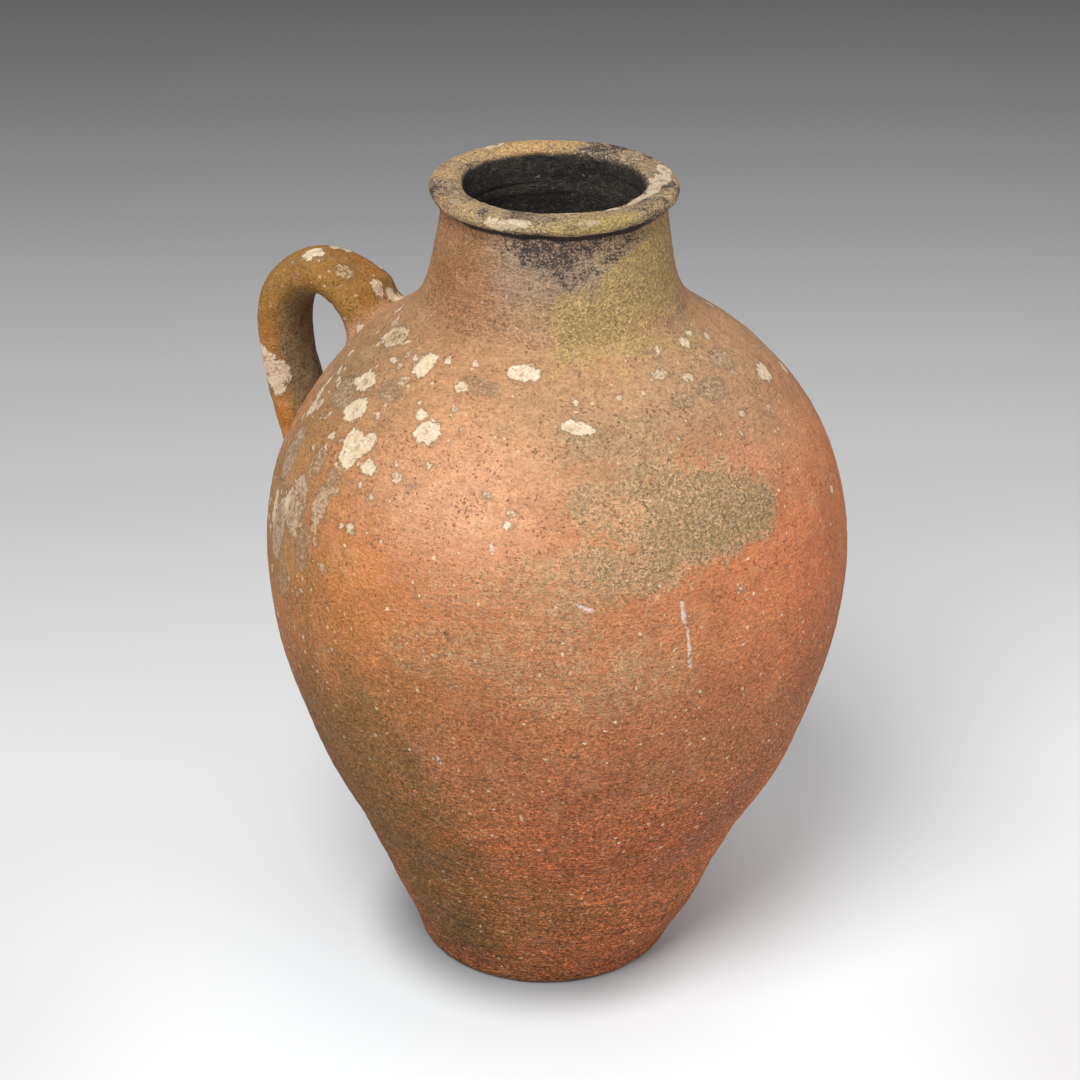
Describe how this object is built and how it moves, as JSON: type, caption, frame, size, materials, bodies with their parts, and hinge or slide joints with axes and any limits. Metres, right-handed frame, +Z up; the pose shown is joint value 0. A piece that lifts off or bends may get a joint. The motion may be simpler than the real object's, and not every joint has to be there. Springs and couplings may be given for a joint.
{
  "type": "olive jar",
  "caption": "Tall unglazed terracotta storage jar with a narrow foot, wide belly, short neck, rolled lip and a strap handle on the shoulder.",
  "frame": {"origin": "centre of the foot's underside, on the floor", "axes": "+Z up along the jar's axis, out of the mouth; the handle is on -X, in the plane Y = 0"},
  "size_m": [0.4329, 0.4016, 0.572],
  "materials": {
    "terracotta_foot": "unglazed, worn edge, gritty",
    "terracotta_lower": "unglazed, gritty, faint throwing ridges",
    "terracotta_belly": "unglazed, gritty, grey-green algae bloom",
    "terracotta_shoulder": "unglazed, pale lichen spots",
    "terracotta_neck": "unglazed, dark speckled crust",
    "terracotta_rim": "unglazed, pale crust, chipped",
    "terracotta_handle": "unglazed, lichen spots, dark inner side"
  },
  "bodies": {
    "root": {"base_disc": "terracotta_foot", "foot_wall": "terracotta_foot", "lower_wall": "terracotta_lower", "belly_wall": "terracotta_belly", "upper_wall": "terracotta_shoulder", "shoulder": "terracotta_shoulder", "neck": "terracotta_neck", "rim": "terracotta_rim", "handle": "terracotta_handle", "handle_root_upper": "terracotta_handle", "handle_root_lower": "terracotta_handle"}
  },
  "joints": []
}
